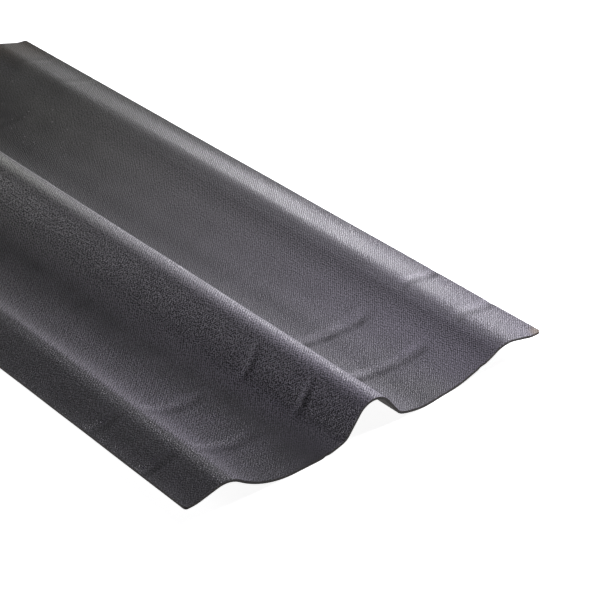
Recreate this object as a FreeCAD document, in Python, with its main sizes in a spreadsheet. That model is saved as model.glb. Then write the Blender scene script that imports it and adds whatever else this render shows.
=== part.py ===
# Roof ridge cap: one pressed sheet of corrugated bitumen fibre, 3 mm thick.
# Frame: X runs along the ridge, Y across it, Z up. The sheet lies crest up on its two bowls,
# and the origin is on that surface, below the middle of the crest.

import FreeCAD, Part
import math
import os
import Sketcher

doc = FreeCAD.newDocument("RoofRidgeCap")

# Driving sizes, in millimetres and degrees; radii and rises are those of the underside
SIZES = [
    ("cap_length", 1000.0, "along the ridge, from cut end to cut end"),
    ("sheet_thickness", 3.0, "the pressed fibre sheet"),
    ("crest_rise", 40.5, "inside of the main crest above the bowls"),
    ("crest_radius", 22.0, "main crest, over the ridge"),
    ("flank_angle", 53.0, "slope of the straight flank below the crest"),
    ("foot_radius", 19.0, "where the flank turns out into the bowl"),
    ("bowl_entry_angle", 18.0, "slope where the foot passes into the bowl"),
    ("inner_bowl_radius", 116.0, "the side of the bowl next to the crest"),
    ("seat_width", 27.0, "flat floor of the bowl, on which the sheet lies"),
    ("outer_bowl_radius", 120.0, "the side of the bowl next to the rim"),
    ("rim_rise", 30.0, "inside of the rim crest above the bowls"),
    ("rim_radius", 32.0, "rim crest, over the last wave of the roof"),
    ("flange_angle", 13.7, "slope of the flange outside the rim crest"),
    ("flange_length", 20.5, "straight part of the flange"),
    ("lip_radius", 57.0, "where the flange levels out into the lip"),
    ("lip_angle", 6.5, "upturn at the cut edge of the lip"),
]

sheet = doc.addObject("Spreadsheet::Sheet", "Sizes")
for row, (alias, value, meaning) in enumerate(SIZES, start=1):
    sheet.set("A%d" % row, alias)
    sheet.set("B%d" % row, str(value))
    sheet.set("C%d" % row, meaning)
    sheet.setAlias("B%d" % row, alias)
doc.recompute()


def size(alias):
    return float(sheet.get(alias))


def angle(alias):
    return math.radians(size(alias))


# The rim crest follows straight on from the bowl, so its rise sets how far the bowl turns up
RIM_TURN = "acos(1 - Sizes.rim_rise / (Sizes.outer_bowl_radius + Sizes.rim_radius))"
rim_turn = math.acos(1 - size("rim_rise") / (size("outer_bowl_radius") + size("rim_radius")))

# Stretches of the half section from the crest out to the lip: name, slope at its end,
# and the expression that holds its turn, where its turn isn't left to its neighbours
STRETCHES = [
    ("crest", -angle("flank_angle"), "Sizes.flank_angle"),
    ("flank", -angle("flank_angle"), None),
    ("foot", -angle("bowl_entry_angle"), None),
    ("inner_bowl", 0.0, "Sizes.bowl_entry_angle"),
    ("seat", 0.0, None),
    ("outer_bowl", rim_turn, RIM_TURN),
    ("rim", -angle("flange_angle"), None),
    ("flange", -angle("flange_angle"), None),
    ("lip", angle("lip_angle"), "Sizes.flange_angle + Sizes.lip_angle"),
]
HUMPS = ("crest", "rim")


def flank_length():
    """Straight flank that is left between the crest and the bowl for the rise of the crest."""
    slope = angle("flank_angle")
    entry = angle("bowl_entry_angle")
    crest_drop = size("crest_radius") * (1 - math.cos(slope))
    foot_drop = size("foot_radius") * (math.cos(entry) - math.cos(slope))
    bowl_drop = size("inner_bowl_radius") * (1 - math.cos(entry))
    return (size("crest_rise") - crest_drop - foot_drop - bowl_drop) / math.sin(slope)


STRAIGHTS = {"flank": flank_length(), "seat": size("seat_width"), "flange": size("flange_length")}


def bound(sketch, constraint, expression):
    """Add a constraint and tie its value to the sheet of sizes."""
    index = sketch.addConstraint(constraint)
    sketch.setExpression("Constraints[%d]" % index, expression)


def straight(sketch, start, slope, length):
    """Draw a straight stretch: its number in the sketch, and its end."""
    end = start + FreeCAD.Vector(math.cos(slope), math.sin(slope), 0) * length
    return sketch.addGeometry(Part.LineSegment(start, end)), end


def arc(sketch, start, slope_in, slope_out, radius):
    """Draw a round stretch that leaves start at one slope and ends at the other."""
    turn = math.copysign(1, slope_out - slope_in)
    inward = FreeCAD.Vector(-math.sin(slope_in), math.cos(slope_in), 0) * turn
    centre = start + inward * radius
    outward = FreeCAD.Vector(math.sin(slope_out), -math.cos(slope_out), 0) * turn
    first, last = sorted([slope_in - turn * math.pi / 2, slope_out - turn * math.pi / 2])
    circle = Part.Circle(centre, FreeCAD.Vector(0, 0, 1), radius)
    return sketch.addGeometry(Part.ArcOfCircle(circle, first, last)), centre + outward * radius


def draw_face(sketch, level):
    """Draw one face of the half section, level millimetres outside the underside.

    Returns the numbers of its first and last stretch.
    """
    tied_level = "Sizes.sheet_thickness" if level else "0"
    point = FreeCAD.Vector(0, size("crest_rise") + level, 0)
    slope = 0.0
    drawn = {}
    for name, slope_out, turn in STRETCHES:
        start_end, far_end = (2, 1) if name in HUMPS else (1, 2)
        if name in STRAIGHTS:
            number, point = straight(sketch, point, slope, STRAIGHTS[name])
        else:
            sign = 1 if name in HUMPS else -1
            radius = size(name + "_radius") + sign * level
            number, point = arc(sketch, point, slope, slope_out, radius)
            tied = "Sizes.%s_radius %s %s" % (name, "+" if sign > 0 else "-", tied_level)
            bound(sketch, Sketcher.Constraint("Radius", number, radius), tied)
        if turn:
            bound(sketch, Sketcher.Constraint("Angle", number, abs(slope_out - slope)), turn)
        if drawn:
            sketch.addConstraint(Sketcher.Constraint("Tangent", before, open_end, number, start_end))
        drawn[name] = number
        before, open_end, slope = number, far_end, slope_out

    crest, seat, flange = drawn["crest"], drawn["seat"], drawn["flange"]
    sketch.addConstraint(Sketcher.Constraint("PointOnObject", crest, 2, -2))
    sketch.addConstraint(Sketcher.Constraint("PointOnObject", crest, 3, -2))
    rise = Sketcher.Constraint("DistanceY", -1, 1, crest, 2, size("crest_rise") + level)
    bound(sketch, rise, "Sizes.crest_rise + " + tied_level)
    sketch.addConstraint(Sketcher.Constraint("Horizontal", seat))
    if level:
        bound(sketch, Sketcher.Constraint("DistanceY", -1, 1, seat, 1, level), tied_level)
    else:
        sketch.addConstraint(Sketcher.Constraint("PointOnObject", seat, 1, -1))
    bound(sketch, Sketcher.Constraint("Distance", seat, size("seat_width")), "Sizes.seat_width")
    bound(sketch, Sketcher.Constraint("Distance", flange, size("flange_length")), "Sizes.flange_length")
    bound(sketch, Sketcher.Constraint("Angle", flange, -angle("flange_angle")), "-Sizes.flange_angle")
    return drawn["crest"], drawn["lip"]


def close_end(sketch, under, under_end, upper, upper_end):
    """Join the two faces of the sheet by a straight edge."""
    edge = Part.LineSegment(sketch.getPoint(under, under_end), sketch.getPoint(upper, upper_end))
    number = sketch.addGeometry(edge)
    sketch.addConstraint(Sketcher.Constraint("Coincident", number, 1, under, under_end))
    sketch.addConstraint(Sketcher.Constraint("Coincident", number, 2, upper, upper_end))


# The pressed sheet: half its section, drawn along the ridge, then mirrored across the crest
body = doc.addObject("PartDesign::Body", "RidgeCap")
body.Label = "ridge_cap"
planes = {plane.Role: plane for plane in body.Origin.OriginFeatures}

section = body.newObject("Sketcher::SketchObject", "HalfSection")
section.AttachmentSupport = [(planes["YZ_Plane"], "")]
section.MapMode = "FlatFace"
under_crest, under_lip = draw_face(section, 0.0)
upper_crest, upper_lip = draw_face(section, size("sheet_thickness"))
close_end(section, under_crest, 2, upper_crest, 2)
close_end(section, under_lip, 2, upper_lip, 2)
doc.recompute()

half = body.newObject("PartDesign::Pad", "HalfSheet")
half.Profile = section
half.SideType = "Symmetric"
half.setExpression("Length", "Sizes.cap_length")
doc.recompute()

whole = body.newObject("PartDesign::Mirrored", "WholeSheet")
whole.Originals = [half]
whole.MirrorPlane = (planes["XZ_Plane"], [""])
body.Tip = whole
doc.recompute()

# Every object has to have been made before anything is written
for item in doc.Objects:
    if "Invalid" in item.State or "Error" in item.State:
        raise RuntimeError("%s was not made: %s" % (item.Label, item.State))
if section.solve() != 0 or not section.FullyConstrained:
    raise RuntimeError("the half section is not held by its sizes")
if body.Shape.isNull() or not body.Shape.isValid() or len(body.Shape.Solids) != 1:
    raise RuntimeError("the ridge cap is not one valid solid")

os.makedirs("parts", exist_ok=True)
body.Shape.exportStep("parts/%s.step" % body.Label)
box = body.Shape.BoundBox
print("%s: %.1f long, %.1f wide, %.1f high" % (body.Label, box.XLength, box.YLength, box.ZLength))
print("volume %.0f mm3, %d faces" % (body.Shape.Volume, len(body.Shape.Faces)))
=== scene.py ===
# %% [markdown]
# A roof ridge cap is one sheet of paper and wood fibre, soaked in black bitumen and pressed wavy while it is
# hot. This lesson models that sheet in Blender around the construction model, and then gives it its finish.
# Everything is in metres, in the construction model's own frame: X along the ridge, Y across it, Z up.

# %% Load the construction model
import bisect
import math

import bpy
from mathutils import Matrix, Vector, noise


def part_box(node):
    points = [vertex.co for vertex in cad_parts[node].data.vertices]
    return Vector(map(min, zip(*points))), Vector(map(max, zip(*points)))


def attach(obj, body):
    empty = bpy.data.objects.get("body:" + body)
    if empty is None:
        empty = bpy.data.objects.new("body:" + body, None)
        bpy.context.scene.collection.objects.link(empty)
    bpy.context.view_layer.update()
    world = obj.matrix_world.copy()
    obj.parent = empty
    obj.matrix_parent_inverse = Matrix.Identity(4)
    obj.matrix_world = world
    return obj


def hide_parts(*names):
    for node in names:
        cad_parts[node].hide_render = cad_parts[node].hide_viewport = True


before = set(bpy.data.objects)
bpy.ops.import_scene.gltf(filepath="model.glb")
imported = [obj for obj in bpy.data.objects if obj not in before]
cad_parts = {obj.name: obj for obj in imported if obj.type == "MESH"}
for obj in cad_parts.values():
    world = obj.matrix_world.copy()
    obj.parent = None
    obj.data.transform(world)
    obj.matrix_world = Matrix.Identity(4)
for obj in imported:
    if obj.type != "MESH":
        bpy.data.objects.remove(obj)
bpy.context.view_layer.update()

low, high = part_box("ridge_cap")
cap_length = high.x - low.x
print("cap length", round(cap_length, 4), "width", round(high.y - low.y, 4), "height", round(high.z - low.z, 4))

# %% [markdown]
# The camera comes first, so that every later step can be compared with the photo. The photo's vanishing
# point gives the lens and the two viewing angles. One known point, the near end of the main crest, then
# fixes where the camera stands: it has to see that point at the same pixel and at the fitted depth. The
# near end is not cut quite square: the right rim reaches the full length, and the crest is a little short of it.

# %% Set up the camera
MM = 0.001
IMAGE_PIXELS = 600
FOCAL_PIXELS = 1977.5
SENSOR_MM = 36.0
VIEW_AZIMUTH = math.radians(49.52)
VIEW_ELEVATION = math.radians(31.76)
CREST_END_PIXEL = (373.98, 400.95)
CREST_END_DEPTH = 2.0074
CREST_RISE = 40.5 * MM
CUT_SHORT = 3 * MM

forward = Vector((
    -math.sin(VIEW_AZIMUTH) * math.cos(VIEW_ELEVATION),
    math.cos(VIEW_AZIMUTH) * math.cos(VIEW_ELEVATION),
    -math.sin(VIEW_ELEVATION),
))
right = forward.cross(Vector((0, 0, 1))).normalized()
up = right.cross(forward)

centre_pixel = IMAGE_PIXELS / 2
to_crest_end = forward
to_crest_end = to_crest_end + right * ((CREST_END_PIXEL[0] - centre_pixel) / FOCAL_PIXELS)
to_crest_end = to_crest_end - up * ((CREST_END_PIXEL[1] - centre_pixel) / FOCAL_PIXELS)
crest_end = Vector((high.x - CUT_SHORT, 0, CREST_RISE))

bpy.ops.object.select_all(action="DESELECT")
bpy.ops.object.camera_add(location=crest_end - to_crest_end * CREST_END_DEPTH)
camera = bpy.context.object
camera.rotation_euler = forward.to_track_quat("-Z", "Y").to_euler()
camera.data.sensor_width = SENSOR_MM
camera.data.lens = SENSOR_MM * FOCAL_PIXELS / IMAGE_PIXELS
camera.data.clip_end = 100
bpy.context.scene.camera = camera
print("camera at", [round(c, 4) for c in camera.location], "lens", round(camera.data.lens, 2))

# %% [markdown]
# A press shapes the real sheet in one stroke. By hand it is easier to sweep it sideways from a single row of edges,
# as long as the cap, that starts under the middle of the crest. A plane with one side deleted gives that row. It takes
# 100 cuts, the most that Subdivide makes at once, and more where the lap marks will be pressed, because they are only
# about 20 mm wide.

# %% Lay the first row of edges under the crest
ROW_CUTS = 100
RIB_ROW_CUTS = 3
FIRST_RIB = 76 * MM
RIB_PITCH = 88 * MM
RIB_ZONE = 24 * MM

near_end = cap_length / 2
row_spacing = cap_length / (ROW_CUTS + 1)
rib_places = [side * (near_end - FIRST_RIB - pitch) for side in (1, -1) for pitch in (0, RIB_PITCH)]

bpy.ops.object.select_all(action="DESELECT")
bpy.ops.mesh.primitive_plane_add(size=cap_length)
cap = bpy.context.object
cap.name = "ridge_sheet"
cap.data.name = "ridge_sheet"


def pick(test):
    """Select the vertices of the sheet that pass a test, and the edges and faces they make."""
    bpy.ops.object.mode_set(mode="OBJECT")
    mesh = cap.data
    for vertex in mesh.vertices:
        vertex.select = test(vertex.co)
    for edge in mesh.edges:
        edge.select = all(mesh.vertices[index].select for index in edge.vertices)
    for face in mesh.polygons:
        face.select = all(mesh.vertices[index].select for index in face.vertices)
    bpy.ops.object.mode_set(mode="EDIT")


bpy.ops.object.mode_set(mode="EDIT")
bpy.ops.mesh.select_mode(type="VERT")
pick(lambda spot: spot.y < 0)
bpy.ops.mesh.delete(type="VERT")
bpy.ops.mesh.select_all(action="SELECT")
bpy.ops.transform.translate(value=(0, -cap_length / 2, CREST_RISE))
bpy.ops.mesh.subdivide(number_cuts=ROW_CUTS)
pick(lambda spot: any(abs(spot.x - rib) < RIB_ZONE for rib in rib_places))
bpy.ops.mesh.subdivide(number_cuts=RIB_ROW_CUTS)
bpy.ops.mesh.select_all(action="SELECT")
bpy.ops.object.mode_set(mode="OBJECT")
print("rows along the ridge", len(cap.data.vertices), "up to", round(row_spacing / MM, 1), "mm apart")

# %% [markdown]
# From the crest outwards the section is a chain of bends and straights: the steep flank and its foot, the bowl with
# its flat seat, the rim crest, the flange, and the lip that turns up a little. Each bend is spun from the last row and
# each straight is extruded from it. Spin keeps a bend a true arc, which pulling a flat grid about by hand would not.

# %% Sweep the row out to the lip
CREST_RADIUS = 22 * MM
FLANK_SLOPE = math.radians(53)
FOOT_RADIUS = 19 * MM
BOWL_ENTRY_SLOPE = math.radians(18)
INNER_BOWL_RADIUS = 116 * MM
SEAT_WIDTH = 27 * MM
OUTER_BOWL_RADIUS = 120 * MM
RIM_RISE = 30 * MM
RIM_RADIUS = 32 * MM
FLANGE_SLOPE = math.radians(13.7)
FLANGE_LENGTH = 20.5 * MM
LIP_RADIUS = 57 * MM
LIP_SLOPE = math.radians(6.5)

rim_slope = math.acos(1 - RIM_RISE / (OUTER_BOWL_RADIUS + RIM_RADIUS))
bend_drop = CREST_RADIUS * (1 - math.cos(FLANK_SLOPE))
bend_drop += FOOT_RADIUS * (math.cos(BOWL_ENTRY_SLOPE) - math.cos(FLANK_SLOPE))
bend_drop += INNER_BOWL_RADIUS * (1 - math.cos(BOWL_ENTRY_SLOPE))
flank_length = (CREST_RISE - bend_drop) / math.sin(FLANK_SLOPE)

# each row's place across the ridge, and the length walked to it over the section
reach = [(0.0, 0.0)]


def sweep_bend(start, slope_in, slope_out, radius, steps):
    """Spin the last row round a bend and give its new place in the section."""
    turn = math.copysign(1, slope_out - slope_in)
    centre = start + Vector((0, -math.sin(slope_in), math.cos(slope_in))) * radius * turn
    bpy.ops.mesh.spin(steps=steps, angle=slope_in - slope_out, center=centre, axis=(1, 0, 0))
    for step in range(1, steps + 1):
        slope = slope_in + (slope_out - slope_in) * step / steps
        end = centre + Vector((0, math.sin(slope), -math.cos(slope))) * radius * turn
        reach.append((end.y, reach[-1][1] + radius * abs(slope_out - slope_in) / steps))
    return end


def sweep_straight(start, slope, length, steps):
    """Extrude the last row down a straight and give its new place in the section."""
    stride = Vector((0, math.cos(slope), math.sin(slope))) * length / steps
    for step in range(1, steps + 1):
        bpy.ops.mesh.extrude_region_move(TRANSFORM_OT_translate={"value": stride})
        reach.append((start.y + stride.y * step, reach[-1][1] + stride.length))
    return start + stride * steps


bpy.ops.object.mode_set(mode="EDIT")
row = Vector((0, 0, CREST_RISE))
row = sweep_bend(row, 0, -FLANK_SLOPE, CREST_RADIUS, steps=12)
row = sweep_straight(row, -FLANK_SLOPE, flank_length, steps=6)
row = sweep_bend(row, -FLANK_SLOPE, -BOWL_ENTRY_SLOPE, FOOT_RADIUS, steps=6)
row = sweep_bend(row, -BOWL_ENTRY_SLOPE, 0, INNER_BOWL_RADIUS, steps=8)
row = sweep_straight(row, 0, SEAT_WIDTH, steps=5)
row = sweep_bend(row, 0, rim_slope, OUTER_BOWL_RADIUS, steps=14)
row = sweep_bend(row, rim_slope, -FLANGE_SLOPE, RIM_RADIUS, steps=10)
row = sweep_straight(row, -FLANGE_SLOPE, FLANGE_LENGTH, steps=4)
lip = sweep_bend(row, -FLANGE_SLOPE, LIP_SLOPE, LIP_RADIUS, steps=6)
bpy.ops.object.mode_set(mode="OBJECT")
half_width, half_flat = reach[-1]
print("lip at", round(lip.y / MM, 2), "mm out,", round(lip.z / MM, 2), "mm up;",
      "developed half width", round(half_flat / MM, 1), "mm")

# %% [markdown]
# Both halves of the section are alike, so a Mirror modifier makes the other half and joins the two along the crest.
# Spin and Mirror can turn faces over, so the normals are then recalculated: they all have to point down, out of the
# underside, before the sheet gets its thickness.

# %% Mirror the half sheet
SEAM_GAP = 0.01 * MM

mirror = cap.modifiers.new("other half", "MIRROR")
mirror.use_axis = (False, True, False)
mirror.merge_threshold = SEAM_GAP
bpy.ops.object.modifier_apply(modifier=mirror.name)
bpy.ops.object.mode_set(mode="EDIT")
bpy.ops.mesh.select_all(action="SELECT")
bpy.ops.mesh.normals_make_consistent(inside=True)
bpy.ops.object.mode_set(mode="OBJECT")
faces_down = sum(face.normal.z < 0 for face in cap.data.polygons)
print("sheet without thickness:", len(cap.data.polygons), "faces,", faces_down, "of them facing down")

# %% [markdown]
# The press has a woven felt against the wet pulp, and its threads stay printed in the sheet. That print follows
# the sheet round its bends, so it needs a UV map that is the flat sheet before pressing: one axis is the place
# along the ridge and the other the length walked across the section. Unwrapping by operator would scale the map
# to fit a square, so here the map is written from the lengths that the sweep kept, and stays in metres.

# %% Map the flat sheet
walked_y = [y for y, length in reach]


def developed(y):
    """Length walked from the crest, over the bends of the section, to a place across the ridge."""
    after = min(max(bisect.bisect(walked_y, abs(y)), 1), len(reach) - 1)
    (y0, length0), (y1, length1) = reach[after - 1], reach[after]
    return math.copysign(length0 + (length1 - length0) * (abs(y) - y0) / (y1 - y0), y)


flat_map = cap.data.uv_layers.new(name="flat_sheet")
for corner in cap.data.loops:
    spot = cap.data.vertices[corner.vertex_index].co
    flat_map.data[corner.index].uv = (spot.x, developed(spot.y))
print("flat sheet", round(cap_length / MM), "by", round(2 * half_flat / MM), "mm")

# %% [markdown]
# The cut ends are sawn from a long sheet and are not dead straight: the near one is a little short of the right rim,
# shorter still in the bowl beside it, and has two small nicks, and the corners are rubbed round. Moving vertices of the
# end row with proportional editing does that without new cuts, and a vertex bevel rounds the corners.

# %% Trim the cut ends
CORNER_RADIUS = 3.2 * MM
CORNER_SEGMENTS = 4
PICK_MARGIN = 0.1 * MM
# the stretch across the ridge, how far the end row is moved there, and how far the move spreads
TRIMS = [
    (-64 * MM, -60 * MM, -1.0 * MM, 4 * MM),
    (156 * MM, 160 * MM, -1.0 * MM, 4 * MM),
    (110 * MM, 165 * MM, -3.0 * MM, 45 * MM),
    (-half_width, 145 * MM, -CUT_SHORT, 35 * MM),
]
# takes in the end row where an earlier trim has moved it, and not the row behind it
END_ROW = near_end - row_spacing / 2

for first, last, move, spread in TRIMS:
    pick(lambda spot: spot.x > END_ROW and first - PICK_MARGIN <= spot.y <= last)
    bpy.ops.transform.translate(
        value=(move, 0, 0),
        use_proportional_edit=True,
        proportional_edit_falloff="SMOOTH",
        proportional_size=spread,
    )
pick(lambda spot: abs(spot.x) > END_ROW and abs(spot.y) > half_width - PICK_MARGIN)
bpy.ops.mesh.bevel(offset=CORNER_RADIUS, segments=CORNER_SEGMENTS, affect="VERTICES")
bpy.ops.object.mode_set(mode="OBJECT")
print("trimmed sheet:", len(cap.data.vertices), "vertices")

# %% [markdown]
# Hot pulp board never comes out of the press quite true, and its crest shows a highlight that swells and narrows
# along the ridge. A Displace modifier with a soft cloud texture bends the sheet by a fraction of a millimetre.

# %% Let the sheet undulate
WAVE_SIZE = 110 * MM
WAVE_HEIGHT = 0.9 * MM

clouds = bpy.data.textures.new("soft undulation", "CLOUDS")
clouds.noise_scale = WAVE_SIZE
clouds.noise_depth = 1
undulation = cap.modifiers.new("soft undulation", "DISPLACE")
undulation.texture = clouds
undulation.texture_coords = "LOCAL"
undulation.strength = WAVE_HEIGHT
undulation.mid_level = 0.5
bpy.ops.object.modifier_apply(modifier=undulation.name)
print("undulation up to", WAVE_HEIGHT / MM / 2, "mm each way")

# %% [markdown]
# The swept surface is the underside, so Solidify grows the sheet upward by its real thickness. It also sorts the
# faces: the new upper face takes the second material and the rim of cut edges the third.

# %% Give the sheet its thickness
SHEET_THICKNESS = 3 * MM
UNDERSIDE, UPPER_FACE, CUT_EDGES = FINISHES = range(3)

for finish in FINISHES:
    cap.data.materials.append(None)
wall = cap.modifiers.new("sheet thickness", "SOLIDIFY")
wall.thickness = SHEET_THICKNESS
wall.offset = -1
wall.use_even_offset = True
wall.material_offset = UPPER_FACE
wall.material_offset_rim = CUT_EDGES
bpy.ops.object.modifier_apply(modifier=wall.name)
heights = [vertex.co.z for vertex in cap.data.vertices]
print("sheet:", len(cap.data.polygons), "faces, from", round(min(heights) / MM, 2),
      "to", round(max(heights) / MM, 2), "mm high")

# %% [markdown]
# Near each end the press leaves two shallow marks across the upper face, which show how far the next cap laps: a raised
# rib on each flank and a groove in the bowls and on the rims. They are not quite square to the cut, and they fade out
# where the sheet stretched over a bend; at the far end they hardly took. Pushing a row of vertices would make them too
# even, so they are painted as patchy vertex weights, and a Displace modifier moves what is painted. The same painting
# also records, for the finish, which side of a mark gets a painted highlight and which side gets painted shade, and
# where it is polished.

# %% Press the lap marks into the upper face
RIB_HEIGHT = 1.0 * MM
RIB_TAPER = 20 * MM
RIB_PATCH = 11 * MM
RIB_EVEN, RIB_PATCHY = 0.8, 0.7
FAR_END_PRESS = 0.3
# in millimetres: stretch across the ridge, distance of the first mark from the end of the sheet at both ends of that
# stretch, how strongly it is pressed there, up or down, and how wide it is
RIB_STRETCHES = [
    ((-262, -196), (74, 77), (-0.7, -0.7), 22),
    ((-180, -88), (72, 82), (-0.45, -0.45), 28),
    ((-52, -12), (72, 80), (0.8, 0.6), 17),
    ((30, 150), (85, 80), (-0.6, -0.5), 26),
    ((176, 262), (73, 79), (-0.45, -0.45), 24),
]
UNMARKED = (1.0, 0.0)


def rib_at(spot):
    """Give how far a spot is past the nearest mark, in half widths toward the middle, and how strong the mark is."""
    for (first, last), (start, stop), (weight, last_weight), width in RIB_STRETCHES:
        share = (spot.y / MM - first) / (last - first)
        if 0 < share < 1:
            taper = min(1, min(share, 1 - share) * (last - first) * MM / RIB_TAPER)
            strength = (weight + (last_weight - weight) * share) * math.sin(taper * math.pi / 2)
            strength *= RIB_EVEN + RIB_PATCHY * noise.noise(spot / RIB_PATCH)
            strength *= 1 if spot.x > 0 else FAR_END_PRESS
            past_first = near_end - abs(spot.x) - (start + (stop - start) * share) * MM
            past = min(past_first, past_first - RIB_PITCH, key=abs) / (width * MM / 2)
            return (past, strength) if abs(past) < 1 else UNMARKED
    return UNMARKED


on_top = {index for face in cap.data.polygons if face.material_index == UPPER_FACE for index in face.vertices}
rib_marks = [rib_at(vertex.co) if vertex.index in on_top else UNMARKED for vertex in cap.data.vertices]
for name, side in (("raised ribs", 1), ("sunken grooves", -1)):
    painted = cap.vertex_groups.new(name=name)
    for index, (past, strength) in enumerate(rib_marks):
        painted.add([index], max(0, side * strength) * (1 + math.cos(math.pi * past)) / 2, "REPLACE")
    pressed = cap.modifiers.new(name, "DISPLACE")
    pressed.vertex_group = painted.name
    pressed.strength = side * RIB_HEIGHT
    pressed.mid_level = 0
    bpy.ops.object.modifier_apply(modifier=pressed.name)
cap.vertex_groups.clear()
# painted light: one side of each mark is made paler as a painted highlight and the other darker as painted shade; the
# roughness reads the same layer as polish
mark_shading_and_polish = cap.data.attributes.new("rib_mark_shading_and_polish", "FLOAT", "POINT")
mark_shading_and_polish.data.foreach_set("value", [abs(strength) * math.sin(math.pi * past) for past, strength in rib_marks])
bpy.ops.object.select_all(action="DESELECT")
cap.select_set(True)
bpy.ops.object.shade_smooth_by_angle(angle=math.radians(40))
print("marks near", [round(rib / MM) for rib in rib_places], "mm from the middle")

# %% [markdown]
# Every finish below is a node material. Two small helpers keep them readable: one turns the hex colours of a colour
# chart into the linear colours that a shader takes, the other adds a node with its settings and its links.

# %% Colours and nodes
def linear(hex_colour):
    """Turn an sRGB hex colour into the linear colour that a shader takes."""
    channels = [int(hex_colour[start:start + 2], 16) / 255 for start in (1, 3, 5)]
    return [c / 12.92 if c <= 0.04045 else ((c + 0.055) / 1.055) ** 2.4 for c in channels] + [1.0]


def add(tree, kind, settings=None, inputs=None, stops=None):
    """Add a node with its settings; an input is a value, a node or a socket, and stops are a ramp's grey levels."""
    node = tree.nodes.new(kind)
    for name, value in (settings or {}).items():
        setattr(node, name, value)
    for name, value in (inputs or {}).items():
        if isinstance(value, bpy.types.Node):
            value = value.outputs[0]
        if isinstance(value, bpy.types.NodeSocket):
            tree.links.new(value, node.inputs[name])
        else:
            node.inputs[name].default_value = value
    for number, (position, level) in enumerate(stops or []):
        elements = node.color_ramp.elements
        element = elements[number] if number < len(elements) else elements.new(1.0)
        element.position = position
        element.color = (level, level, level, 1)
    return node


def new_material(name):
    """Make an empty node material and hand it back with its tree."""
    material = bpy.data.materials.new(name)
    material.use_nodes = True
    material.node_tree.nodes.clear()
    return material, material.node_tree


print("mid grey #808080 is", round(linear("#808080")[0], 3), "of full white to a shader")

# %% [markdown]
# The upper face is bitumen fibre pressed against felt: black board with a thin waxy film. Its finish differs from one
# side of the sheet to the other, partly as the press bore on it and as it was stacked and carried, and mostly through
# painted light and shade, paler on the side that faces the lamps, so it is laid out on the flat sheet: ramps across it
# say how much there is of a thing at each place.

# %% Lay out the upper face
upper, tree = new_material("pressed_bitumen_fibre")
flat = add(tree, "ShaderNodeUVMap", {"uv_map": "flat_sheet"})
axes = add(tree, "ShaderNodeSeparateXYZ", inputs={0: flat})
along, across = axes.outputs["X"], axes.outputs["Y"]
from_left = add(tree, "ShaderNodeMapRange", inputs={
    "Value": across, "From Min": -half_flat, "From Max": half_flat})


def across_stops(levels):
    """Turn levels, by place across the flat sheet in millimetres, into the stops of a ramp from left to right."""
    return [(0.5 + spot * MM / half_flat / 2, level) for spot, level in levels]


print("ramps run over", round(2 * half_flat / MM), "mm of flat sheet")

# %% [markdown]
# To the eye the upper face is a dark, slightly violet satin, broken up by the print of the felt's threads: two crossing
# rows that stray a little, with loose fibres over them, thicker on one half. The threads of the real felt are about
# 1.2 mm apart, finer than the photo's pixels can hold, so they are drawn at 1.7 mm.

# %% Print of the felt on the upper face
THREAD_SPACING = 1.7 * MM
THREAD_STRAY = 1.4 * MM
STRAY_SIZE = 7 * MM
WEAVE_STRENGTH = 0.75
LOOSE_FIBRE_SIZE = 1.8 * MM
LOOSE_FIBRE_STRENGTH = 6.0
MIDDLE_RELIEF = 0.5
# place across the flat sheet in millimetres, and how thick the loose fibres lie there
LOOSE_SHARE = [(-205, 0.8), (-150, 0.8), (-91, 0.5), (-62, 0.6), (-52, 1.0), (-20, 0.9), (0, 0.5), (265, 0.45)]

stray = add(tree, "ShaderNodeTexNoise", {"noise_dimensions": "2D"}, {
    "Vector": flat, "Scale": 1 / STRAY_SIZE, "Detail": 1.0})
strayed = add(tree, "ShaderNodeVectorMath", {"operation": "MULTIPLY_ADD"}, {
    0: stray.outputs["Color"], 1: (THREAD_STRAY, THREAD_STRAY, 0), 2: flat})
turns = add(tree, "ShaderNodeVectorMath", {"operation": "SCALE"}, {
    0: strayed, "Scale": math.pi / THREAD_SPACING})
waves = add(tree, "ShaderNodeVectorMath", {"operation": "SINE"}, {0: turns})
threads = add(tree, "ShaderNodeSeparateXYZ", inputs={0: waves})
weave = add(tree, "ShaderNodeMath", {"operation": "MULTIPLY"}, {
    0: threads.outputs["X"], 1: threads.outputs["Y"]})
fibres = add(tree, "ShaderNodeTexNoise", {"noise_dimensions": "2D"}, {
    "Vector": flat, "Scale": 1 / LOOSE_FIBRE_SIZE, "Detail": 1.0})
strewn = add(tree, "ShaderNodeMath", {"operation": "MULTIPLY_ADD"}, {
    0: fibres, 1: LOOSE_FIBRE_STRENGTH, 2: -LOOSE_FIBRE_STRENGTH / 2})
thick = add(tree, "ShaderNodeValToRGB", inputs={"Fac": from_left}, stops=across_stops(LOOSE_SHARE))
loose = add(tree, "ShaderNodeMath", {"operation": "MULTIPLY_ADD"}, {0: strewn, 1: thick, 2: MIDDLE_RELIEF})
relief = add(tree, "ShaderNodeMath", {"operation": "MULTIPLY_ADD"}, {0: weave, 1: WEAVE_STRENGTH, 2: loose})
print("felt threads", THREAD_SPACING / MM, "mm apart")

# %% [markdown]
# The board is painted paler and darker across and along the sheet. A little of it is the wax film's real bloom, and
# most of it is painted light and shade. It is painted paler on the right side, which faces the lamps, on the outer half
# of both bowls, in a pale line at the foot of the flank that is partly a mould line and partly painted light, and as a
# painted highlight along the crest. It is painted darker on one flange and on the left side, as painted shade toward
# the far end, away from the lamps, and darker at the near end. One ramp across the flat sheet says how pale it is
# painted, two say how much darker it is at the near end and at the far end, and a soft noise breaks it up. Painted
# spots would look too sharp for this.

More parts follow.
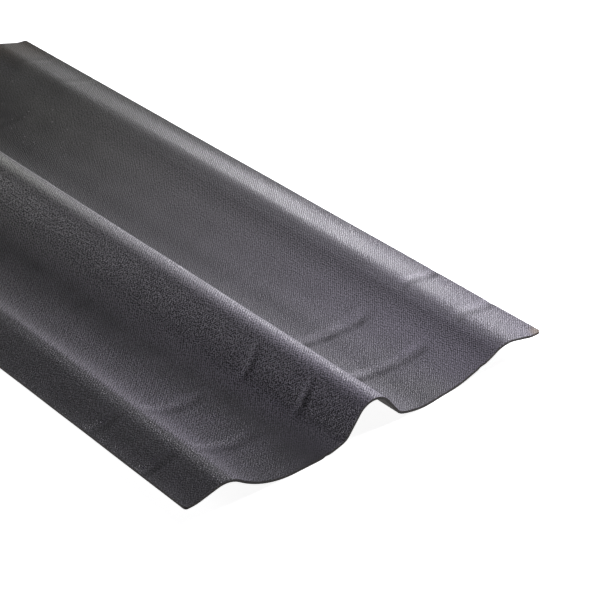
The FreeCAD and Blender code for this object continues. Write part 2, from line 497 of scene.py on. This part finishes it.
# %% Bloom of the wax film, and painted light and shade
MOTTLE_SIZE = 38 * MM
MOTTLE_STRENGTH = 0.4
CREST_RUB_AND_HIGHLIGHT_FROM = 66 * MM
CREST_RUB_AND_HIGHLIGHT_TO = 12 * MM
CREST_RUB_AND_HIGHLIGHT_PALENESS = 0.75
HELD_LENGTH = 150 * MM
# place across the flat sheet in millimetres, and how pale the board is painted there, mostly as painted light
BLOOM_AND_PAINTED_LIGHT = [(-265, 0.0), (-209, 0.14), (-203, 0.95), (-190, 0.85), (-165, 0.5), (-140, 0.4), (-115, 0.15), (-92, 0.12),
         (-78, 0.4), (-60, 0.95), (-46, 0.6), (-36, 0.5), (-26, 0.6), (-14, 0.18), (20, 0.18), (100, 0.43), (150, 0.78),
         (170, 1.0), (200, 0.92), (207, 0.55), (265, 0.62)]
# the same places, and how much darker the board is at the near end, and how much painted shade darkens it toward the
# far end
NEAR_END_DARKENING = [(-265, 0.9), (-205, 0.4), (-150, 0.8), (-85, 0.7), (-60, 0.1), (-45, 0.6), (-30, 0.8), (0, 0.0), (60, 0.0),
        (85, 0.7), (120, 0.7), (150, 0.25), (265, 0.0)]
FAR_END_SHADE = [(-80, 0.1), (40, 0.3), (80, 0.6), (200, 0.6), (210, 0.1), (265, 0.0)]

mottle = add(tree, "ShaderNodeTexNoise", {"noise_dimensions": "2D"}, {
    "Vector": flat, "Scale": 1 / MOTTLE_SIZE, "Detail": 4.0})
# painted light: the board is paler on the right side, which faces the lamps, and darker on the left, with a little real
# bloom
bloom_and_light_ramp = add(tree, "ShaderNodeValToRGB", inputs={"Fac": from_left}, stops=across_stops(BLOOM_AND_PAINTED_LIGHT))
# darker at the near end, by a given share at each place across the sheet
near_end_darkening_ramp = add(tree, "ShaderNodeValToRGB", inputs={"Fac": from_left}, stops=across_stops(NEAR_END_DARKENING))
near = add(tree, "ShaderNodeMapRange", {"interpolation_type": "SMOOTHSTEP"}, {
    "Value": along, "From Min": near_end - HELD_LENGTH, "From Max": near_end})
near_end_darkening = add(tree, "ShaderNodeMath", {"operation": "MULTIPLY"}, {0: near_end_darkening_ramp, 1: near})
# painted shade: the board is darker toward the far end, away from the lamps
far_end_shade_ramp = add(tree, "ShaderNodeValToRGB", inputs={"Fac": from_left}, stops=across_stops(FAR_END_SHADE))
far = add(tree, "ShaderNodeMapRange", {"interpolation_type": "SMOOTHSTEP"}, {
    "Value": along, "From Min": 0.0, "From Max": -near_end})
painted_darkening = add(tree, "ShaderNodeMath", {"operation": "MULTIPLY_ADD"}, {0: far_end_shade_ramp, 1: far, 2: near_end_darkening})
undarkened = add(tree, "ShaderNodeMath", {"operation": "SUBTRACT"}, {0: 1.0, 1: painted_darkening})
darkened_paleness = add(tree, "ShaderNodeMath", {"operation": "MULTIPLY"}, {0: bloom_and_light_ramp, 1: undarkened})
beside = add(tree, "ShaderNodeMath", {"operation": "ABSOLUTE"}, {0: across})
# painted highlight along the crest, with a little real rub: paler within a few centimetres of the crest
crest_rub_and_highlight = add(tree, "ShaderNodeMapRange", {"interpolation_type": "SMOOTHSTEP"}, {
    "Value": beside, "From Min": CREST_RUB_AND_HIGHLIGHT_FROM, "From Max": CREST_RUB_AND_HIGHLIGHT_TO, "To Max": CREST_RUB_AND_HIGHLIGHT_PALENESS})
paleness_with_crest = add(tree, "ShaderNodeMath", {"operation": "ADD"}, {0: darkened_paleness, 1: crest_rub_and_highlight})
mottled = add(tree, "ShaderNodeMath", {"operation": "MULTIPLY_ADD"}, {
    0: mottle, 1: MOTTLE_STRENGTH, 2: -MOTTLE_STRENGTH / 2})
paleness = add(tree, "ShaderNodeMath", {"operation": "ADD", "use_clamp": True}, {0: paleness_with_crest, 1: mottled})
# lit and shaded copies of the board: the dark and the pale colour are mixed by the painted light, the painted shade and
# the bloom
painted_light_and_bloom_colour = add(tree, "ShaderNodeMix", {"data_type": "RGBA"}, {
    "Factor": paleness, 6: linear("#1a181e"), 7: linear("#55515c")})
print("bloom set at", len(BLOOM_AND_PAINTED_LIGHT), "places across the sheet")

# %% [markdown]
# Four things darken or lighten the board on a small scale: a painted highlight runs as a pale line along the top of the
# crest toward the old end, the pits between the threads hold black bitumen, the lap marks get a painted highlight on
# one side and painted shade on the other, and toward the old end the bitumen loses its violet tint. The last three are
# factors on the colour, so the bloom and the painted light still show through. The press bore harder on one half, so
# the print is deeper and its pits darker there, and hands wore it down at the near end.

# %% Pits, painted shading of the marks, and age
AGED_LENGTH = 800 * MM
MARK_SHADING_STRENGTH = 0.9
# place across the flat sheet in millimetres, and the share of its full depth that the print has there, in general and
# where it is worn at the near end
PRINT_SHARE = [(-205, 0.8), (-160, 1.0), (-60, 1.0), (-20, 0.6), (0, 0.5), (190, 0.5), (212, 0.35), (265, 0.4)]
WORN_SHARE = [(-265, 0.3), (-205, 0.6), (-175, 0.8), (-120, 0.4), (-91, 0.1), (-50, 0.4), (0, 0.5), (265, 0.5)]
# the same places, and how much of the painted highlight along the crest shows at the old end
CREST_HIGHLIGHT_LINE = [(-9, 0.0), (-3, 0.8), (3, 0.8), (9, 0.0)]

printed = add(tree, "ShaderNodeValToRGB", inputs={"Fac": from_left}, stops=across_stops(PRINT_SHARE))
worn_print = add(tree, "ShaderNodeValToRGB", inputs={"Fac": from_left}, stops=across_stops(WORN_SHARE))
print_share = add(tree, "ShaderNodeMix", inputs={"Factor": near, 2: printed, 3: worn_print})
raised = add(tree, "ShaderNodeMath", {"operation": "SUBTRACT"}, {0: relief, 1: MIDDLE_RELIEF})
depth = add(tree, "ShaderNodeMath", {"operation": "MULTIPLY"}, {0: raised, 1: print_share})
age = add(tree, "ShaderNodeMapRange", inputs={
    "Value": along, "From Min": near_end, "From Max": near_end - AGED_LENGTH})
# painted highlight: a pale line along the top of the crest, stronger toward the old end
crest_highlight_ramp = add(tree, "ShaderNodeValToRGB", inputs={"Fac": from_left}, stops=across_stops(CREST_HIGHLIGHT_LINE))
far_crest_highlight = add(tree, "ShaderNodeMath", {"operation": "MULTIPLY"}, {0: crest_highlight_ramp, 1: age})
crest_highlighted = add(tree, "ShaderNodeMix", {"data_type": "RGBA"}, {
    "Factor": far_crest_highlight, 6: painted_light_and_bloom_colour.outputs[2], 7: linear("#8a8693")})
pits = add(tree, "ShaderNodeMapRange", inputs={
    "Value": depth, "From Min": -MIDDLE_RELIEF, "From Max": MIDDLE_RELIEF, "To Min": 0.0, "To Max": 2.0})
mark_shading_read = add(tree, "ShaderNodeAttribute", {"attribute_name": "rib_mark_shading_and_polish"})
# painted highlight on one side of each lap mark and painted shade on the other
mark_side_shading = add(tree, "ShaderNodeMapRange", inputs={
    "Value": mark_shading_read.outputs["Fac"], "From Min": -1.0, "To Min": 1 - MARK_SHADING_STRENGTH, "To Max": 1 + MARK_SHADING_STRENGTH})
marked = add(tree, "ShaderNodeMath", {"operation": "MULTIPLY"}, {0: pits, 1: mark_side_shading})
pitted = add(tree, "ShaderNodeVectorMath", {"operation": "SCALE"}, {0: crest_highlighted.outputs[2], "Scale": marked})
aged = add(tree, "ShaderNodeMix", {"data_type": "RGBA", "blend_type": "MULTIPLY"}, {
    "Factor": age, 6: pitted, 7: linear("#f4ffd8")})
print("fully aged", AGED_LENGTH / MM, "mm from the near end")

# %% [markdown]
# A few marks belong to this one sheet: pale specks of grit stuck in the far end of one bowl, a brown stain on the rim
# beside them, and bare brown fibre where the near corner of the lip was knocked. The specks are the centres of Voronoi
# cells, because a cell pattern keeps them well apart.

# %% Specks, stain and knocked corner
SPECK_SPACING = 28 * MM
SPECK_RADIUS = 1.3 * MM
GRIT_FROM = 650 * MM
GRIT_TO = 750 * MM
STAIN_LENGTH = 120 * MM
KNOCK_RADIUS = 17 * MM
KNOCKED_CORNER = Vector((near_end, half_width, lip.z))
# place across the flat sheet in millimetres, and how much of the grit and of the stain shows there
GRITTY = [(80, 0.0), (120, 0.8), (180, 0.8), (190, 0.0)]
STAINED = [(195, 0.0), (215, 1.0)]

cells = add(tree, "ShaderNodeTexVoronoi", {"voronoi_dimensions": "2D"}, {
    "Vector": flat, "Scale": 1 / SPECK_SPACING})
specks = add(tree, "ShaderNodeMapRange", inputs={
    "Value": cells, "From Min": SPECK_RADIUS / SPECK_SPACING, "From Max": SPECK_RADIUS / SPECK_SPACING / 2})
gritty_bowl = add(tree, "ShaderNodeValToRGB", inputs={"Fac": from_left}, stops=across_stops(GRITTY))
gritty_end = add(tree, "ShaderNodeMapRange", {"interpolation_type": "SMOOTHSTEP"}, {
    "Value": along, "From Min": near_end - GRIT_FROM, "From Max": near_end - GRIT_TO})
bowl_specks = add(tree, "ShaderNodeMath", {"operation": "MULTIPLY"}, {0: specks, 1: gritty_bowl})
grit = add(tree, "ShaderNodeMath", {"operation": "MULTIPLY"}, {0: bowl_specks, 1: gritty_end})
speckled = add(tree, "ShaderNodeMix", {"data_type": "RGBA"}, {
    "Factor": grit, 6: aged.outputs[2], 7: linear("#8a8886")})
stained_rim = add(tree, "ShaderNodeValToRGB", inputs={"Fac": from_left}, stops=across_stops(STAINED))
stained_end = add(tree, "ShaderNodeMapRange", {"interpolation_type": "SMOOTHSTEP"}, {
    "Value": along, "From Min": STAIN_LENGTH - near_end, "From Max": -near_end})
stain = add(tree, "ShaderNodeMath", {"operation": "MULTIPLY"}, {0: stained_end, 1: stained_rim})
stained = add(tree, "ShaderNodeMix", {"data_type": "RGBA", "blend_type": "MULTIPLY"}, {
    "Factor": stain, 6: speckled.outputs[2], 7: linear("#fff0e0")})


def knock(tree, colour, fibre_colour):
    """Lay bare fibre over a colour where the corner was knocked."""
    spot = add(tree, "ShaderNodeTexCoord")
    away = add(tree, "ShaderNodeVectorMath", {"operation": "DISTANCE"}, {
        0: spot.outputs["Object"], 1: KNOCKED_CORNER})
    bare = add(tree, "ShaderNodeMapRange", {"interpolation_type": "SMOOTHSTEP"}, {
        "Value": away.outputs["Value"], "From Min": KNOCK_RADIUS, "From Max": KNOCK_RADIUS / 3})
    return add(tree, "ShaderNodeMix", {"data_type": "RGBA"}, {
        "Factor": bare, 6: colour, 7: linear(fibre_colour)}).outputs[2]


finished = knock(tree, stained.outputs[2], "#554a40")
print("corner knocked at", [round(c / MM) for c in KNOCKED_CORNER], "mm")

# %% [markdown]
# The satin is not even either: the tops of the threads are polished by the press, and the pits between them are dull.
# That difference in gloss is what makes the print sparkle where the sheet mirrors a lamp, more than its depth does.
# The thick bloom in one bowl dulls it, and the scuffed sides of the lap marks are polished. Bump is enough for a print
# that is only tenths of a millimetre deep.

# %% Satin of the upper face
THREAD_DEPTH = 0.3 * MM
PIT_ROUGHNESS = 0.76
THREAD_ROUGHNESS = 0.3
MOTTLED_ROUGHNESS = 0.2
SCUFF_POLISH = 0.4
# place across the flat sheet in millimetres, and how much rougher the bloom makes it there
DULLED = [(-215, 0.0), (-203, 0.18), (-150, 0.18), (-110, 0.0)]

felt_print = add(tree, "ShaderNodeBump", inputs={"Height": depth, "Distance": THREAD_DEPTH})
polish = add(tree, "ShaderNodeMapRange", inputs={
    "Value": relief, "To Min": PIT_ROUGHNESS, "To Max": THREAD_ROUGHNESS})
dulled = add(tree, "ShaderNodeValToRGB", inputs={"Fac": from_left}, stops=across_stops(DULLED))
satin = add(tree, "ShaderNodeMath", {"operation": "ADD"}, {0: polish, 1: dulled})
uneven = add(tree, "ShaderNodeMath", {"operation": "MULTIPLY_ADD"}, {0: mottle, 1: MOTTLED_ROUGHNESS, 2: satin})
roughness = add(tree, "ShaderNodeMath", {"operation": "MULTIPLY_ADD"}, {
    0: mark_shading_read.outputs["Fac"], 1: -SCUFF_POLISH, 2: uneven})
shader = add(tree, "ShaderNodeBsdfPrincipled", inputs={
    "Base Color": finished, "Roughness": roughness, "Normal": felt_print})
add(tree, "ShaderNodeOutputMaterial", inputs={"Surface": shader})
print("upper face:", len(tree.nodes), "nodes")

# %% [markdown]
# The underside lay on a bare metal mould and the cut edges are raw board. Both are rougher and browner than the upper
# face, because no film of wax covers the fibres. The cut edges are also painted near black, as painted shade.

# %% Finish of the underside and the cut edges
RAW_GRAIN_DEPTH = 0.3 * MM
RAW_ROUGHNESS = 0.8


def raw_fibre(name, dark, pale, fibre_size):
    """Bare board: dull, with fibres of two browns."""
    material, tree = new_material(name)
    spot = add(tree, "ShaderNodeTexCoord")
    fibres = add(tree, "ShaderNodeTexNoise", inputs={
        "Vector": spot.outputs["Object"], "Scale": 1 / fibre_size, "Detail": 4.0})
    board = add(tree, "ShaderNodeMix", {"data_type": "RGBA"}, {
        "Factor": fibres, 6: linear(dark), 7: linear(pale)})
    bump = add(tree, "ShaderNodeBump", inputs={"Height": fibres, "Distance": RAW_GRAIN_DEPTH})
    shader = add(tree, "ShaderNodeBsdfPrincipled", inputs={
        "Base Color": knock(tree, board.outputs[2], "#3a2f26"), "Roughness": RAW_ROUGHNESS, "Normal": bump})
    add(tree, "ShaderNodeOutputMaterial", inputs={"Surface": shader})
    return material


cap.data.materials[UNDERSIDE] = raw_fibre("moulded_bitumen_fibre", "#1c1918", "#332e2b", 3 * MM)
cap.data.materials[UPPER_FACE] = upper
# painted shade: the cut edges are darker than the bare board of the underside
cap.data.materials[CUT_EDGES] = raw_fibre("cut_bitumen_fibre_painted_shade", "#0e0d0c", "#2a2522", 1.5 * MM)
print("finishes:", [slot.material.name for slot in cap.material_slots])

# %% [markdown]
# The floor is plain white card, just under the lowest spot of the uneven sheet. Its own glow, seen by the camera and by
# reflections only, lifts it to the white of a studio sweep without putting more light on the sheet, and the sheet's
# shadow stays.

# %% Floor
FLOOR_WIDTH = 12
FLOOR_GLOW = 0.93

bpy.ops.object.select_all(action="DESELECT")
bpy.ops.mesh.primitive_plane_add(size=FLOOR_WIDTH, location=(0, 0, min(heights)))
floor = bpy.context.object
floor.name = "floor"


def seen_only(tree, strength):
    """Give a strength that the camera and reflections see and that lights nothing."""
    rays = add(tree, "ShaderNodeLightPath")
    seen = add(tree, "ShaderNodeMath", {"operation": "MAXIMUM"}, {
        0: rays.outputs["Is Camera Ray"], 1: rays.outputs["Is Glossy Ray"]})
    seen = add(tree, "ShaderNodeMath", {"operation": "MAXIMUM"}, {
        0: seen, 1: rays.outputs["Is Transmission Ray"]})
    return add(tree, "ShaderNodeMath", {"operation": "MULTIPLY"}, {0: seen, 1: strength})


card, tree = new_material("white_card")
matt = add(tree, "ShaderNodeBsdfDiffuse", inputs={"Color": linear("#e6e6e6")})
lift = add(tree, "ShaderNodeEmission", inputs={"Strength": seen_only(tree, FLOOR_GLOW)})
both = add(tree, "ShaderNodeAddShader", inputs={0: matt, 1: lift})
add(tree, "ShaderNodeOutputMaterial", inputs={"Surface": both})
floor.data.materials.append(card)
print("floor", floor.dimensions.x, "m wide")

# %% [markdown]
# A studio sweep curves up behind the goods. For low views the world carries the floor's white on a little way above
# the horizon, and it is black overhead, so that the lamps alone light the sheet.

# %% Sweep behind the floor
SWEEP_TOP = math.sin(math.radians(15))

world = bpy.data.worlds.new("studio sweep")
bpy.context.scene.world = world
world.use_nodes = True
tree = world.node_tree
tree.nodes.clear()
direction = add(tree, "ShaderNodeTexCoord")
rise = add(tree, "ShaderNodeSeparateXYZ", inputs={0: direction.outputs["Generated"]})
sweep = add(tree, "ShaderNodeMapRange", inputs={
    "Value": rise.outputs["Z"], "From Min": SWEEP_TOP, "From Max": SWEEP_TOP / 2})
sky = add(tree, "ShaderNodeBackground", inputs={
    "Color": linear("#ffffff"), "Strength": seen_only(tree, sweep)})
add(tree, "ShaderNodeOutputWorld", inputs={"Surface": sky})
print("sweep up to", round(math.degrees(math.asin(SWEEP_TOP))), "degrees")

# %% [markdown]
# Black satin board shows its shape by what it mirrors, so the light is a set of soft boxes close round the sheet.
# The right side faces most of them and turns pale grey, and the left side falls off to black. They are a little
# cool, as studio lamps on black goods often are.

# %% Light
LAMP_COLOUR = "#fbf9ff"
NEAR_MIDDLE = (0.3, 0.0, 0.02)


def softbox(name, place, width, height, watts):
    """Hang a rectangular soft box and point it at the near middle of the sheet."""
    bpy.ops.object.select_all(action="DESELECT")
    bpy.ops.object.light_add(type="AREA", location=place)
    lamp = bpy.context.object
    lamp.name = name
    lamp.visible_camera = False
    lamp.data.shape = "RECTANGLE"
    lamp.data.size = width
    lamp.data.size_y = height
    lamp.data.energy = watts
    lamp.data.color = linear(LAMP_COLOUR)[:3]
    lamp.rotation_euler = (Vector(NEAR_MIDDLE) - Vector(place)).to_track_quat("-Z", "Y").to_euler()


softbox("right panel", (0.44, 0.6, 0.45), 0.4, 0.3, watts=9.0)
softbox("right strip", (0.0, 0.6, 0.22), 0.4, 0.2, watts=1.5)
softbox("right back strip", (-0.6, 0.6, 0.22), 0.4, 0.2, watts=0.6)
softbox("right back low strip", (-0.6, 1.0, 0.10), 0.4, 0.12, watts=3.3)
softbox("overhead panel", (-0.6, 0.0, 1.5), 0.5, 0.5, watts=7.0)
softbox("back left panel", (-2.2, -1.6, 0.6), 0.5, 0.35, watts=34.0)
bpy.context.scene.view_settings.view_transform = "Standard"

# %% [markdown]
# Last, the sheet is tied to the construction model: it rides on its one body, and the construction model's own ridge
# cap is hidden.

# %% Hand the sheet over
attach(cap, "root")
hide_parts("ridge_cap")
